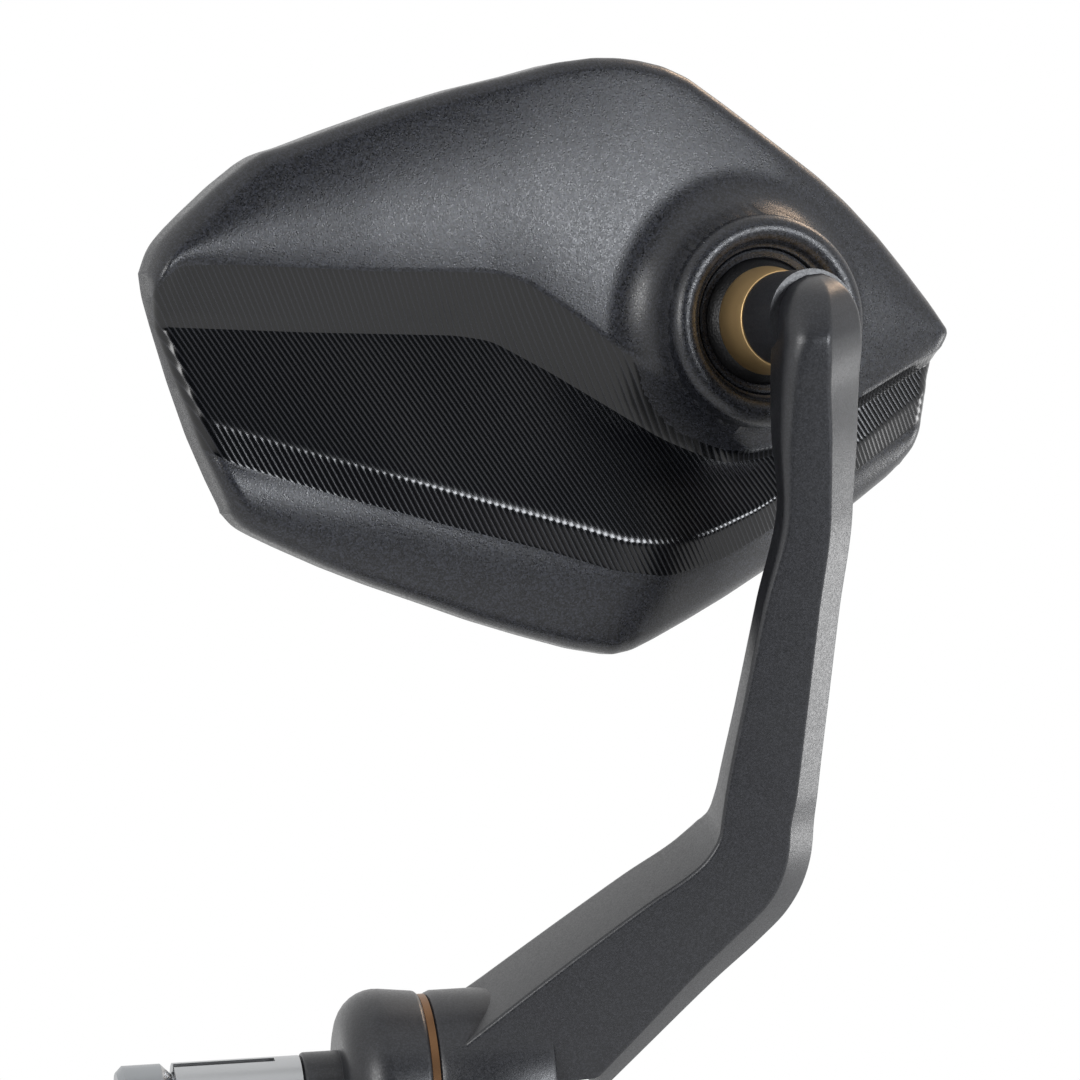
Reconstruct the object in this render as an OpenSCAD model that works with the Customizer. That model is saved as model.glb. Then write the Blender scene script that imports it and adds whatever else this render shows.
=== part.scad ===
// Motorcycle bar end mirror, left hand: milled head on a ball joint, forged swan neck
// arm, and an expanding adapter for the handlebar's end.
// Frame: the origin is the adapter's seat on the end of the handlebar, on the bar's axis.
// +X points outboard along the bar, +Z up, and -Y forward, away from the rider.

/* [Bar end adapter] */
// Radius of the round flange that continues the handlebar
flange_r = 17; // [15:0.5:20]
// Radius of the flange where it meets the friction washer
flange_end_r = 15.5; // [14.5:0.5:16.5]
// Length of the flange along the bar
flange_len = 13; // [10:0.5:18]
// Rounding of the flange's inboard edge
flange_round = 6.5; // [2:0.5:8]
// Radius of the pilot and sleeve inside the handlebar
spigot_r = 6.9; // [6:0.1:9]
// Length of the solid pilot behind the seat
pilot_len = 6; // [4:0.5:12]
// Length of the slotted expander sleeve
sleeve_len = 20; // [14:1:30]
// Number of slots in the expander sleeve
sleeve_slots = 4; // [3:1:6]
// Length of the expander cone behind the sleeve
cone_len = 10; // [8:1:16]
// Radius of the clamp bolt's shank
bolt_r = 3; // [2.5:0.5:4]
// Radius of the stub that the arm's hub turns on
stub_r = 7.5; // [7.25:0.25:8]
// Radial relief of the sleeve and cone behind the pilot
sleeve_relief = 0.4; // [0.3:0.1:0.6]

/* [Arm] */
// Radius of the arm's hub
hub_r = 15.5; // [15:0.5:18]
// Length of the arm's hub along the bar
hub_len = 18.5; // [17:0.5:22]
// Wall of the bush pressed into the hub
bush_wall = 1.2; // [0.8:0.1:1.6]
// Thickness of the friction washer between flange and hub
friction_t = 1.2; // [0.8:0.1:2]
// Radius of the round stem that carries the head
stem_r = 7.5; // [7:0.1:8.2]
// Distance from the ball's centre to the arm's knuckle
stem_len = 27; // [25:0.5:32]
// Distance of the arm's bend from the seat, along the bar
bend_x = 62.5; // [58:0.5:66]
// Height of the arm's bend above the bar's axis
bend_z = 33.6; // [30:0.2:38]
// Width of the arm beside its hub
arm_w_low = 22; // [18:0.5:23]
// Width of the arm below its knuckle
arm_w_top = 12.6; // [11:0.2:14]
// Depth of the arm beside its hub
arm_d_low = 22; // [18:0.5:26]
// Depth of the arm at its thinnest place
arm_d_top = 7.8; // [7:0.2:10]
// How far the arm's front face lies before the bar's axis at the knuckle
arm_front = 7.3; // [6.7:0.2:8.5]

/* [Ball joint] */
// Radius of the brass ball
ball_r = 11.5; // [11:0.1:12]
// Radius of the ball's collar where it leaves the ball
collar_r = 8.5; // [8:0.1:8.8]
// Radius of the stud's threaded shank in the stem
shank_r = 4; // [3:0.25:5]
// Wall of the socket cup around the ball
cup_wall = 1.45; // [1.2:0.05:1.8]
// Play between the sliding spheres
ball_play = 0.05; // [0.02:0.01:0.1]
// Outer radius of the boss's round ridge
boss_r = 16.8; // [16.5:0.1:18]
// Height of the ridge's crest above the ball's centre
boss_h = 9.2; // [8.5:0.1:10]

/* [Head] */
// Tilt of the head's back from facing up, 90 is upright
head_tilt = 75; // [60:1:95]
// Turn of the head's back towards outboard
head_yaw = 15; // [0:1:25]
// Depth of the rim's edge below the ball's centre
rim_depth = 17; // [16.5:0.25:19]
// Wall of the head's back
skin_wall = 2.4; // [2:0.1:2.8]
// Width of the ledge that carries the glass
ledge_w = 3.4; // [3:0.1:4]
// Wall of the rim beside the gasket
rim_wall = 1.2; // [1:0.1:1.4]
// Rounding of the back's edge all round
edge_round = 2.2; // [1:0.1:2.6]
// Bulge of the blasted face between the upper rim and the milled facets
face_bulge = 1.25; // [0:0.25:3]

/* [Glass] */
// Thickness of the glass at its edge
glass_t = 1.3; // [1:0.1:1.5]
// Radius of the glass's convex face
glass_curve = 1200; // [900:50:1800]
// Thickness of the foam pad behind the glass
pad_t = 0.8; // [0.5:0.1:1]

/* [Hidden] */

black = "#2b2c30";
steel = "#8a8d90";
brass = "#c79a52";
fine = 96;

ball_pos = [70, 25, 116.5];
seat_x = flange_len + friction_t;
hub_recess = 7.6;
hub_floor_x = seat_x + hub_len - hub_recess;
stub_end_x = hub_floor_x - 0.4;
bush_r = stub_r + bush_wall + 0.05;
washer_r = 10;
washer_t = 1.2;
spring_t = 1.6;
bolt_head_r = 5;
hex_r = 2.9;
bolt_head_h = 2.4;
bolt_start_x = hub_floor_x + washer_t + spring_t;
recess_r = 11.6;
cap_t = 1.8;
cap_x = seat_x + hub_len - cap_t;
lip_len = 1.2;
lip_r = recess_r - 1.6;
seal_t = 1;
sleeve_r = spigot_r - sleeve_relief;
sleeve_x = -pilot_len - 0.3;
sleeve_mouth = 5;
cone_x = sleeve_x - sleeve_len + 4;
cone_r = sleeve_r - 1.7;

// The knuckle: where the stem's axis meets the arm
stem_axis = [sin(head_tilt) * sin(head_yaw), -sin(head_tilt) * cos(head_yaw), cos(head_tilt)];
knuckle = ball_pos + stem_len * stem_axis;
collar_z = 6;
stem_start_z = 13.5;
ball_flat = 9;

grub_z = stem_len - 5;
grub_r = 2;
grub_len = 3;

// The steps of the boss, measured from the ball's centre along the boss's axis
seat_r = ball_r + cup_wall + 2 * ball_play;
cup_angle = 59;
mouth_angle = 63;
trough_z = 6.9;
ridge_r = 2.2;
foot_r = boss_r + ridge_r;
foot_z = -0.6;
barrel_r = 20.4;
barrel_top = -8.6;
thrust_z = -ball_flat - 1;
thrust_bore = 6.4;
disc_t = 1.3;
disc_bore = 7.5;
plate_z = thrust_z - disc_t;
plate_t = 2;
plate_r = 20;
plate_bore = 6;
screw_ring = 17;
screw_r = 1.5;
screw_head_t = 0.7;
screw_angles = [60, 180, 300];
ledge_z = 2.8 - rim_depth;

// Rows of the head's back, each as [x, y] points from the left end to the right end,
// seen from behind with the ball's centre as the zero.
TOP = [[-95.5, 17.4], [-95, 19.6], [-93.3, 22.3], [-91, 24.4], [-88, 26.7], [-82.7, 30.5],
    [-77.6, 33.6], [-75.1, 34.7], [-71.7, 35.3], [-62.9, 37.5], [-52.9, 39.8], [-43, 41.6],
    [-33.1, 42.9], [-26.3, 44], [-20, 44.2], [-16, 43.8], [-12.6, 43.1], [-8.4, 41.8], [-4.4, 39.7],
    [1.6, 34.9], [9.6, 28.2], [17.1, 22.2], [22.3, 17.3], [27.6, 11.4], [31.8, 6.1], [36.2, 0.2],
    [38.2, -3.1], [39, -5]];
BOTTOM = [[-86.4, -20], [-85.6, -21.7], [-84.2, -23.1], [-82.2, -24.4], [-78.3, -26.7],
    [-71.1, -30.7], [-63.9, -34.3], [-55.1, -38.3], [-46.9, -42.1], [-38.9, -45.4], [-31, -48.4],
    [-24.5, -50.2], [-21.2, -49.9], [-17.1, -48.6], [-10.5, -46.2], [-3.6, -43.5], [3.5, -40.4],
    [12, -36.4], [22.1, -31.1], [28.3, -27.7], [30.8, -25.9]];
LEFT = [[-20, -86.4], [-15, -88.3], [-7.7, -90.7], [0.9, -92.8], [9.9, -94.6], [14.5, -95.4],
    [17.4, -95.5]];
RIGHT = [[-25.9, 30.8], [-23.4, 32.8], [-20.6, 34.1], [-18.1, 34.8], [-15.5, 35.2], [-12.7, 35.8],
    [-9.6, 37.3], [-7.4, 38], [-5, 39]];
LINE_1 = [[-96, 14], [-94, 17], [-91.5, 18.6], [-82, 17.7], [-61, 14.5], [-42, 12.3], [-36, 10],
    [-28, 3.5], [-20, -3.8], [-8, -15], [-2, -20], [4, -19.5], [21, -13.6], [36, -8], [43, -6]];
LINE_2 = [[-95, 9.6], [-70, 6.1], [-46, 3.1], [-40, 1.6], [-31, -4.4], [-22, -11], [-14, -17],
    [-8, -20.3], [-4, -22], [4, -21.8], [21, -15.8], [36, -10], [42, -8]];
LINE_3 = [[-93, -4.2], [-76, -11.4], [-57, -18.9], [-42, -24.9], [-30, -29.5], [-24, -32],
    [-17, -33.3], [-10, -32.6], [0, -29.7], [21, -20.9], [33, -15], [41, -11]];
LINE_4 = [[-91, -9], [-87, -12.3], [-71, -19.2], [-54, -25.8], [-36, -32.4], [-26, -36.6],
    [-17, -38.6], [-7, -37], [5, -32.2], [22, -24.6], [33, -19.5], [40, -15]];
// Heights of the same rows, as [x, z] points
RISE_TOP = [[-96, -10.5], [-78, -8], [-60, -5.5], [-33, -2.5], [-12, -1.2], [10, -1.5], [28, -4],
    [42, -7]];
RISE_1 = [[-96, -8.5], [-60, -4.5], [-36, -2.3], [-20, -1.2], [4, -1.5], [18, -2.2], [43, -6.5]];
RISE_2 = [[-95, -12.2], [-60, -11.2], [-40, -10.2], [-20, -7.5], [-8, -5.2], [6, -4.8], [21, -5.6],
    [42, -9.5]];
RISE_3 = [[-93, -9.5], [-60, -5], [-20, -2], [0, -2.5], [21, -5], [41, -9]];
RISE_4 = [[-91, -9.8], [-60, -6.2], [-20, -3.4], [0, -3.9], [21, -6.4], [40, -10]];
RISE_BOTTOM = [[-96, -10], [-60, -10], [-20, -9.5], [10, -10.5], [44, -12]];
strip_w = 1.9;
strip_rise = 1.3;
wall_bulge = 0.8;

function mix(a, b, t) = a + (b - a) * t;
function smooth(x, table, w = 1.5) =
    (lookup(x - w, table) + lookup(x, table) + lookup(x + w, table)) / 3;
function slope(x, table) = (smooth(x + 1, table) - smooth(x - 1, table)) / 2;
function stretch(x, table) = sqrt(1 + pow(slope(x, table), 2));

// Height of the back at any place, from the rows above and below it
function back_height(x, y) =
    let (y1 = smooth(x, LINE_1), y4 = smooth(x, LINE_4), y2 = smooth(x, LINE_2),
        top = smooth(x, TOP), low = smooth(x, BOTTOM), z1 = smooth(x, RISE_1),
        z2 = smooth(x, RISE_2), z4 = smooth(x, RISE_4), v = max(0, min(1, (y - y1) / (top - y1))),
        w = max(0, min(1, (y - low) / (y4 - low))))
    y > y1 ? mix(z1, smooth(x, RISE_TOP), v) + face_bulge * 4 * v * (1 - v)
    : y < y4 ? mix(smooth(x, RISE_BOTTOM), z4, w) + wall_bulge * 4 * w * (1 - w)
    : lookup(y, [[y4, z4], [smooth(x, LINE_3), smooth(x, RISE_3)], [y2, z2],
        [y2 + min(strip_w, (y1 - y2) / 2), z2 + min(strip_rise, (z1 - z2) / 2)], [y1, z1]]);

// Distance of a place from the outline, measured across the nearest side
function edge_distance(x, y) = max(0, min(
    (smooth(x, TOP) - y) / stretch(x, TOP), (y - smooth(x, BOTTOM)) / stretch(x, BOTTOM),
    (x - smooth(y, LEFT)) / stretch(y, LEFT), (smooth(y, RIGHT) - x) / stretch(y, RIGHT)));
function rounded_drop(d) =
    d >= edge_round ? 0 : edge_round * (1 - sqrt(1 - pow(1 - d / edge_round, 2)));

// The grid on the back: rows from the lower edge to the upper one
insets = [0, 0.16, 0.5, 1];
function row_y(i, x) =
    let (low = smooth(x, BOTTOM), top = smooth(x, TOP), y4 = smooth(x, LINE_4),
        y3 = smooth(x, LINE_3), y2 = smooth(x, LINE_2), y1 = smooth(x, LINE_1),
        in_low = low + min(edge_round * stretch(x, BOTTOM), 0.8 * (y4 - low)),
        in_top = top - min(edge_round * stretch(x, TOP), 0.8 * (top - y1)),
        strip = y2 + min(strip_w, (y1 - y2) / 2))
    lookup(i, [[0, low], [1, mix(low, in_low, insets[1])], [2, mix(low, in_low, insets[2])],
        [3, in_low], [6, y4], [7, mix(y4, y3, 0.5)], [8, y3], [11, y2], [12, strip], [13, y1],
        [18, in_top], [19, mix(in_top, top, 1 - insets[2])], [20, mix(in_top, top, 1 - insets[1])],
        [21, top]]);
last_row = 21;
columns = 46;
last_column = columns + 2 * (len(insets) - 1);
function row_start(i) =
    let (a = i == 0 ? BOTTOM[0][0] : i == last_row ? TOP[0][0] : smooth(row_y(i, -90), LEFT))
    i == 0 || i == last_row ? a : smooth(row_y(i, a), LEFT);
function row_end(i) =
    let (a = i == 0 ? BOTTOM[len(BOTTOM) - 1][0] : i == last_row ? TOP[len(TOP) - 1][0]
            : smooth(row_y(i, 40), RIGHT))
    i == 0 || i == last_row ? a : smooth(row_y(i, a), RIGHT);
function column_x(i, j) =
    let (a = row_start(i), b = row_end(i), n = len(insets) - 1)
    j < n ? a + insets[j] * edge_round
    : j > last_column - n ? b - insets[last_column - j] * edge_round
    : mix(a + edge_round, b - edge_round, (j - n) / columns);
grid_xy = [for (i = [0:last_row]) [for (j = [0:last_column])
    let (x = column_x(i, j)) [x, row_y(i, x)]]];

mid = [-26, -3];
half = [70, 47];
function shrink(p, d) = [for (k = [0:1]) mid[k] + (p[k] - mid[k]) * (1 - d / half[k])];
outline = concat([for (j = [0:last_column]) grid_xy[0][j]],
    [for (i = [1:last_row]) grid_xy[i][last_column]],
    [for (j = [last_column - 1:-1:0]) grid_xy[last_row][j]],
    [for (i = [last_row - 1:-1:1]) grid_xy[i][0]]);

function at_height(points, z) = [for (p = points) [p[0], p[1], z]];
function inset(d) = [for (p = outline) shrink(p, d)];

// The same outline with fewer points, for what lies inside the rim
thin_columns = [for (j = [len(insets) - 1:2:last_column - len(insets) + 1]) j];
thin_rows = [for (i = [3:3:last_row - 3]) i];
thin_outline = concat([grid_xy[0][0]], [for (j = thin_columns) grid_xy[0][j]],
    [grid_xy[0][last_column]], [for (i = thin_rows) grid_xy[i][last_column]],
    [grid_xy[last_row][last_column]],
    [for (k = [len(thin_columns) - 1:-1:0]) grid_xy[last_row][thin_columns[k]]],
    [grid_xy[last_row][0]], [for (k = [len(thin_rows) - 1:-1:0]) grid_xy[thin_rows[k]][0]]);
function plate(d) = [for (p = thin_outline) shrink(p, d)];
gasket_w = 1.1;
glass_gap = 0.1;

module bar_adapter() color(black) {
    rotate([0, 90, 0]) difference() {
        union() {
            rotate_extrude($fn = fine) polygon(concat([[0, 0]],
                [for (a = [0:10:90]) [flange_r - flange_round + flange_round * sin(a),
                    flange_round - flange_round * cos(a)]],
                [[flange_end_r, flange_len - 1], [flange_end_r - 1, flange_len], [0, flange_len]]));
            translate([0, 0, -pilot_len]) cylinder(r = spigot_r, h = pilot_len + 1, $fn = fine);
            cylinder(r = stub_r, h = stub_end_x, $fn = fine);
        }
        translate([0, 0, -pilot_len - 1]) cylinder(r = bolt_r + 0.3, h = pilot_len + stub_end_x + 2, $fn = fine);
    }
}

module expander_sleeve() color(steel)
    translate([sleeve_x, 0, 0]) rotate([0, -90, 0]) difference() {
        cylinder(r = sleeve_r, h = sleeve_len, $fn = fine);
        translate([0, 0, -1]) cylinder(r = bolt_r + 0.5, h = sleeve_len + 2, $fn = fine);
        translate([0, 0, sleeve_len - sleeve_mouth])
            cylinder(r = cone_r + 0.3, h = sleeve_mouth + 1, $fn = fine);
        for (k = [0:sleeve_slots - 1]) rotate([0, 0, k * 360 / sleeve_slots])
            translate([0, -0.75, 4]) cube([sleeve_r + 1, 1.5, sleeve_len]);
    }

module expander_cone() color(steel)
    translate([cone_x, 0, 0]) rotate([0, -90, 0]) difference() {
        rotate_extrude($fn = fine) polygon([[0, 0], [cone_r, 0], [cone_r, 4.3],
            [sleeve_r, 6], [sleeve_r, cone_len + 2], [sleeve_r - 1, cone_len + 3],
            [0, cone_len + 3]]);
        translate([0, 0, -1]) cylinder(r = bolt_r, h = cone_len + 5, $fn = fine);
    }

module clamp_bolt() color(steel) translate([bolt_start_x, 0, 0]) rotate([0, 90, 0]) {
    difference() {
        cylinder(r = bolt_head_r, h = bolt_head_h, $fn = fine);
        translate([0, 0, 0.8]) cylinder(r = hex_r, h = bolt_head_h, $fn = 6);
    }
    translate([0, 0, cone_x - cone_len - 1 - bolt_start_x])
        cylinder(r = bolt_r, h = bolt_start_x - cone_x + cone_len + 1.5, $fn = fine);
}

module plain_disc(x, r, t)
    translate([x, 0, 0]) rotate([0, 90, 0]) cylinder(r = r, h = t, $fn = fine);

module flat_ring(x, r, bore, t) difference() {
    plain_disc(x, r, t);
    plain_disc(x - 1, bore, t + 2);
}

module bolt_washer() color(steel)
    flat_ring(hub_floor_x, washer_r, bolt_r + 0.3, washer_t);

module spring_washer() color(steel)
    flat_ring(hub_floor_x + washer_t, bolt_head_r + 0.6, bolt_r + 0.3, spring_t);

module friction_washer() color("#7d6a58")
    flat_ring(flange_len, hub_r - 0.5, stub_r + 0.3, friction_t);

module hub_bush() color(brass)
    flat_ring(seat_x + 0.3, bush_r, stub_r + 0.05, hub_floor_x - seat_x - 0.6);

module hub_cap() color(black) difference() {
    union() {
        plain_disc(cap_x, recess_r - 0.05, cap_t);
        plain_disc(cap_x - lip_len, lip_r, lip_len + 0.1);
    }
    plain_disc(cap_x - lip_len - 1, lip_r - 1.4, lip_len + 1.6);
}

module cap_seal() color("#1c1c1e")
    flat_ring(cap_x - seal_t - 0.1, recess_r - 0.1, lip_r + 0.05, seal_t);

// Stations up the arm: [x, z, direction, width, depth, bevel, y of the front face]
leg_foot = [bend_x + 5.5, bend_z + 15.4];
function leg_x(t) = mix(leg_foot[0], knuckle[0], t);
function leg_z(t) = mix(leg_foot[1], knuckle[2], t);
function face_y(z) = mix(-11.2, -arm_front, z / (knuckle[2] - 10.5));
arm_stations = [
    [seat_x + 6.8, -1.6, 40, arm_w_low - 6, arm_d_low - 2, 2.6, -10.6],
    [seat_x + 10.2, 1.3, 40, arm_w_low + 1, arm_d_low - 0.6, 2.8, face_y(1.3)],
    [seat_x + 17.6, 7.4, 40, arm_w_low + 0.2, arm_d_low - 1.6, 3.3, face_y(7.4)],
    [bend_x - 20.7, bend_z - 18, 40, arm_w_low - 1.2, arm_d_low - 2.6, 3.9, face_y(15.6)],
    [bend_x - 9.5, bend_z - 9.1, 40, arm_w_low - 2.9, arm_d_low - 3.4, 4.8, face_y(24.5)],
    [bend_x - 0.8, bend_z - 2.5, 40, arm_w_low - 4.1, arm_d_low - 4, 5.2, face_y(31)],
    [bend_x + 1.9, bend_z + 0.4, 46, arm_w_low - 3.9, arm_d_low - 5.4, 5.3, face_y(34)],
    [bend_x + 3.7, bend_z + 3.5, 58, arm_w_low - 4.4, arm_d_low - 7.2, 5.3, face_y(37)],
    [bend_x + 4.6, bend_z + 6.8, 70, arm_w_low - 5.2, arm_d_low - 9.2, 5.2, face_y(40.4)],
    [bend_x + 4.9, bend_z + 10.3, 79, arm_w_low - 5.9, arm_d_low - 11.2, 5, face_y(44)],
    [leg_foot[0], leg_foot[1], 82, arm_w_top + 3.2, arm_d_top + 1, 4.5, face_y(49)],
    [leg_x(0.217), leg_z(0.167), 82, arm_w_top + 2.1, arm_d_top + 0.2, 4.4, face_y(61.4)],
    [leg_x(0.514), leg_z(0.388), 82, arm_w_top + 0.7, arm_d_top, 4.4, face_y(78)],
    [leg_x(0.823), leg_z(0.602), 83, arm_w_top - 0.6, arm_d_top + 0.2, 4.6, face_y(94)],
    [leg_x(0.846), leg_z(0.752), 88, arm_w_top + 0.5, arm_d_top + 3.2, 5.3, face_y(105)],
    [knuckle[0] - 1.05, knuckle[2] - 10.5, 90, arm_w_top + 0.7, arm_d_top + 5.6, 6, -arm_front],
    [knuckle[0] - 0.65, knuckle[2] - 5.5, 90, arm_w_top + 0.8, arm_d_top + 6.8, 6.4, -arm_front],
    [knuckle[0] - 0.5, knuckle[2] - 2.3, 90, arm_w_top + 0.4, arm_d_top + 6.6, 6.4, 0.2 - arm_front],
    [knuckle[0] - 0.45, knuckle[2] + 0.4, 90, arm_w_top - 0.2, arm_d_top + 4.8, 5.8, 1.8 - arm_front],
    [knuckle[0] - 0.45, knuckle[2] + 2.7, 90, arm_w_top - 2.2, arm_d_top + 2.6, 4.6, 3.7 - arm_front],
    [knuckle[0] - 0.45, knuckle[2] + 4.2, 90, arm_w_top - 4.6, arm_d_top + 0.5, 3.2, 5.7 - arm_front],
    [knuckle[0] - 0.45, knuckle[2] + 5, 90, arm_w_top - 7.4, arm_d_top - 2, 2, 8 - arm_front]];

// The bar's section: square, bevelled along the outboard front edge, its corners rounded
corner_steps = [0, 0.3, 0.7, 1];
function arm_corners(w, d, b) = [[-w / 2, -d / 2, min(2, w / 8)], [w / 2 - b, -d / 2, 0.8],
    [w / 2, b - d / 2, 0.8], [w / 2, d / 2, min(3, w / 5)], [-w / 2, d / 2, min(3, w / 5)]];
function toward(a, b, r) = [for (k = [0:1]) a[k] + (b[k] - a[k]) * r / norm([b[0] - a[0], b[1] - a[1]])];
function bent(a, b, c, t) = [for (k = [0:1])
    pow(1 - t, 2) * a[k] + 2 * t * (1 - t) * b[k] + pow(t, 2) * c[k]];
function arm_section(w, d, b) = let (corners = arm_corners(w, d, b), n = len(corners))
    [for (i = [0:n - 1]) let (c = corners[i]) for (t = corner_steps)
        bent(toward(c, corners[(i + n - 1) % n], c[2]), c, toward(c, corners[(i + 1) % n], c[2]), t)];
section_sides = 20;
function arm_ring(s) = [for (p = arm_section(s[3], s[4], s[5]))
    [s[0] + sin(s[2]) * p[0], p[1] + s[6] + s[4] / 2, s[1] - cos(s[2]) * p[0]]];
function sweep_faces(rings, sides) = concat([[for (k = [0:sides - 1]) k]],
    [for (i = [0:rings - 2]) for (k = [0:sides - 1]) let (q = (k + 1) % sides)
        [i * sides + q, i * sides + k, (i + 1) * sides + k, (i + 1) * sides + q]],
    [[for (k = [sides - 1:-1:0]) (rings - 1) * sides + k]]);

module arm() color(black) difference() {
    union() {
        polyhedron([for (s = arm_stations) each arm_ring(s)],
            sweep_faces(len(arm_stations), section_sides));
        plain_disc(seat_x, hub_r, hub_len);
        at_head() translate([0, 0, stem_start_z])
            cylinder(r = stem_r, h = stem_len - stem_start_z, $fn = fine);
    }
    plain_disc(0, bush_r, hub_floor_x + 1);
    plain_disc(hub_floor_x, recess_r, hub_recess + 12);
    at_head() translate([0, 0, stem_start_z - 1])
        cylinder(r = shank_r, h = stem_len - stem_start_z - 1, $fn = fine);
    at_head() translate([0, 0, grub_z]) rotate([0, 90, 0]) cylinder(r = grub_r, h = 12, $fn = fine);
}

module at_head() translate(ball_pos) rotate([head_tilt, 0, head_yaw]) children();

// Set screw from the outboard side, through the knuckle onto the stud's shank
module stud_grub_screw() color(steel) at_head() translate([shank_r + 0.05, 0, grub_z])
    rotate([0, 90, 0]) difference() {
        cylinder(r = grub_r, h = grub_len, $fn = fine);
        translate([0, 0, grub_len - 1.6]) cylinder(r = 1.1, h = 2, $fn = 6);
    }

module ball_stud() color(brass) at_head() {
    difference() {
        sphere(r = ball_r, $fn = fine);
        translate([0, 0, -ball_r - ball_flat]) cylinder(r = ball_r, h = ball_r, $fn = fine);
    }
    translate([0, 0, collar_z])
        cylinder(r1 = collar_r, r2 = stem_r, h = stem_start_z - collar_z, $fn = fine);
    cylinder(r = shank_r - 0.05, h = stem_len - 2.5, $fn = fine);
}

function on_sphere(r, a) = [r * sin(a), r * cos(a)];

module socket_cup() color(black) at_head() rotate_extrude($fn = fine)
    polygon(concat([for (a = [cup_angle:4:99]) on_sphere(ball_r + ball_play, a)],
        [for (a = [99:-4:cup_angle]) on_sphere(seat_r - ball_play, a)]));

module thrust_ring() color("#d8cfae") at_head() rotate_extrude($fn = fine)
    polygon(concat([for (a = [122:4:146]) on_sphere(ball_r + ball_play, a)],
        [[thrust_bore, thrust_z], [seat_r - 0.3, thrust_z], [seat_r - 0.3, -ball_r * cos(58)]]));

module disc_spring() color(steel) at_head() translate([0, 0, plate_z]) difference() {
    cylinder(r = seat_r - 0.5, h = disc_t, $fn = fine);
    translate([0, 0, -1]) cylinder(r = disc_bore, h = disc_t + 2, $fn = fine);
}

module clamp_plate() color(steel) at_head() translate([0, 0, plate_z - plate_t]) difference() {
    cylinder(r = plate_r, h = plate_t, $fn = fine);
    translate([0, 0, -1]) cylinder(r = plate_bore, h = plate_t + 2, $fn = fine);
    for (a = screw_angles) rotate([0, 0, a]) translate([screw_ring, 0, -1])
        cylinder(r = screw_r + 0.2, h = plate_t + 2, $fn = fine);
}

module clamp_screws() color(steel) at_head() for (a = screw_angles) rotate([0, 0, a])
    translate([screw_ring, 0, plate_z - plate_t - screw_head_t]) {
        cylinder(r = screw_r + 1.2, h = screw_head_t, $fn = fine);
        cylinder(r = screw_r - 0.05, h = plate_t + 5, $fn = fine);
    }

// The housing's shell: the back on the outside, the same form one wall lower on the inside
outer = [for (i = [0:last_row]) for (j = [0:last_column]) let (p = grid_xy[i][j])
    [p[0], p[1], back_height(p[0], p[1]) - rounded_drop(edge_distance(p[0], p[1]))]];
inner = [for (i = [0:last_row]) for (j = [0:last_column]) let (p = shrink(grid_xy[i][j], ledge_w))
    [p[0], p[1], max(ledge_z + 0.5, back_height(p[0], p[1]) - skin_wall)]];
row_size = last_column + 1;
function loop_indices() = concat([for (j = [0:last_column]) j],
    [for (i = [1:last_row]) i * row_size + last_column],
    [for (j = [last_column - 1:-1:0]) last_row * row_size + j],
    [for (i = [last_row - 1:-1:1]) i * row_size]);
function band(a, b, n) = [for (k = [0:n - 1]) let (q = (k + 1) % n) [a[k], a[q], b[q], b[k]]];
function count_from(start, n) = [for (k = [0:n - 1]) start + k];

module housing_shell() {
    loop = loop_indices();
    n = len(loop);
    grid_n = len(outer);
    base = 2 * grid_n;
    points = concat(outer, inner, at_height(outline, -rim_depth), at_height(inset(rim_wall), -rim_depth),
        at_height(inset(rim_wall), ledge_z), at_height(inset(ledge_w), ledge_z));
    outer_loop = loop;
    inner_loop = [for (k = loop) k + grid_n];
    rings = [outer_loop, count_from(base, n), count_from(base + n, n), count_from(base + 2 * n, n),
        count_from(base + 3 * n, n), inner_loop];
    polyhedron(points, concat(
        [for (i = [0:last_row - 1]) for (j = [0:last_column - 1]) let (a = i * row_size + j)
            each [[a, a + row_size, a + row_size + 1], [a, a + row_size + 1, a + 1]]],
        [for (i = [0:last_row - 1]) for (j = [0:last_column - 1]) let (a = grid_n + i * row_size + j)
            each [[a, a + row_size + 1, a + row_size], [a, a + 1, a + row_size + 1]]],
        [for (r = [0:len(rings) - 2]) each band(rings[r], rings[r + 1], n)]));
}

module boss_ridge() rotate_extrude($fn = fine) polygon(concat(
    [[on_sphere(seat_r + 1, 90)[0] - 2, -8], [foot_r, -8], [foot_r, foot_z]],
    [for (a = [20:20:80]) [foot_r - ridge_r * sin(a), foot_z + ridge_r - ridge_r * cos(a)]],
    [for (a = [0:20:180]) [boss_r - ridge_r + ridge_r * cos(a), boss_h - ridge_r + ridge_r * sin(a)]],
    [[boss_r - 2 * ridge_r, trough_z], [seat_r * sin(mouth_angle) - 2, trough_z]]));

module head_housing() color(black) at_head() difference() {
    union() {
        housing_shell();
        boss_ridge();
        translate([0, 0, plate_z]) cylinder(r = barrel_r, h = barrel_top - plate_z + 2, $fn = fine);
    }
    sphere(r = seat_r, $fn = fine);
    translate([0, 0, -rim_depth]) cylinder(r = seat_r, h = rim_depth, $fn = fine);
    cylinder(r = seat_r * sin(mouth_angle), h = 12, $fn = fine);
    for (a = screw_angles) rotate([0, 0, a]) translate([screw_ring, 0, plate_z - 1])
        cylinder(r = screw_r, h = 6, $fn = fine);
}

module glass_pad() color("#3a3a3c") at_head() translate([0, 0, ledge_z - pad_t])
    linear_extrude(pad_t) polygon(plate(rim_wall + gasket_w + 2 * glass_gap));

// The convex face as a shallow cap about the glass's middle, down to its flat back
glass_sag = 2.1;
module glass_profile() {
    reach = 82;
    steps = 24;
    polygon(concat([for (k = [0:steps]) let (a = asin(reach * k / steps / glass_curve))
        [glass_curve * sin(a), -glass_curve * cos(a)]],
        [[reach, glass_t + glass_sag - glass_curve], [0, glass_t + glass_sag - glass_curve]]));
}

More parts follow.
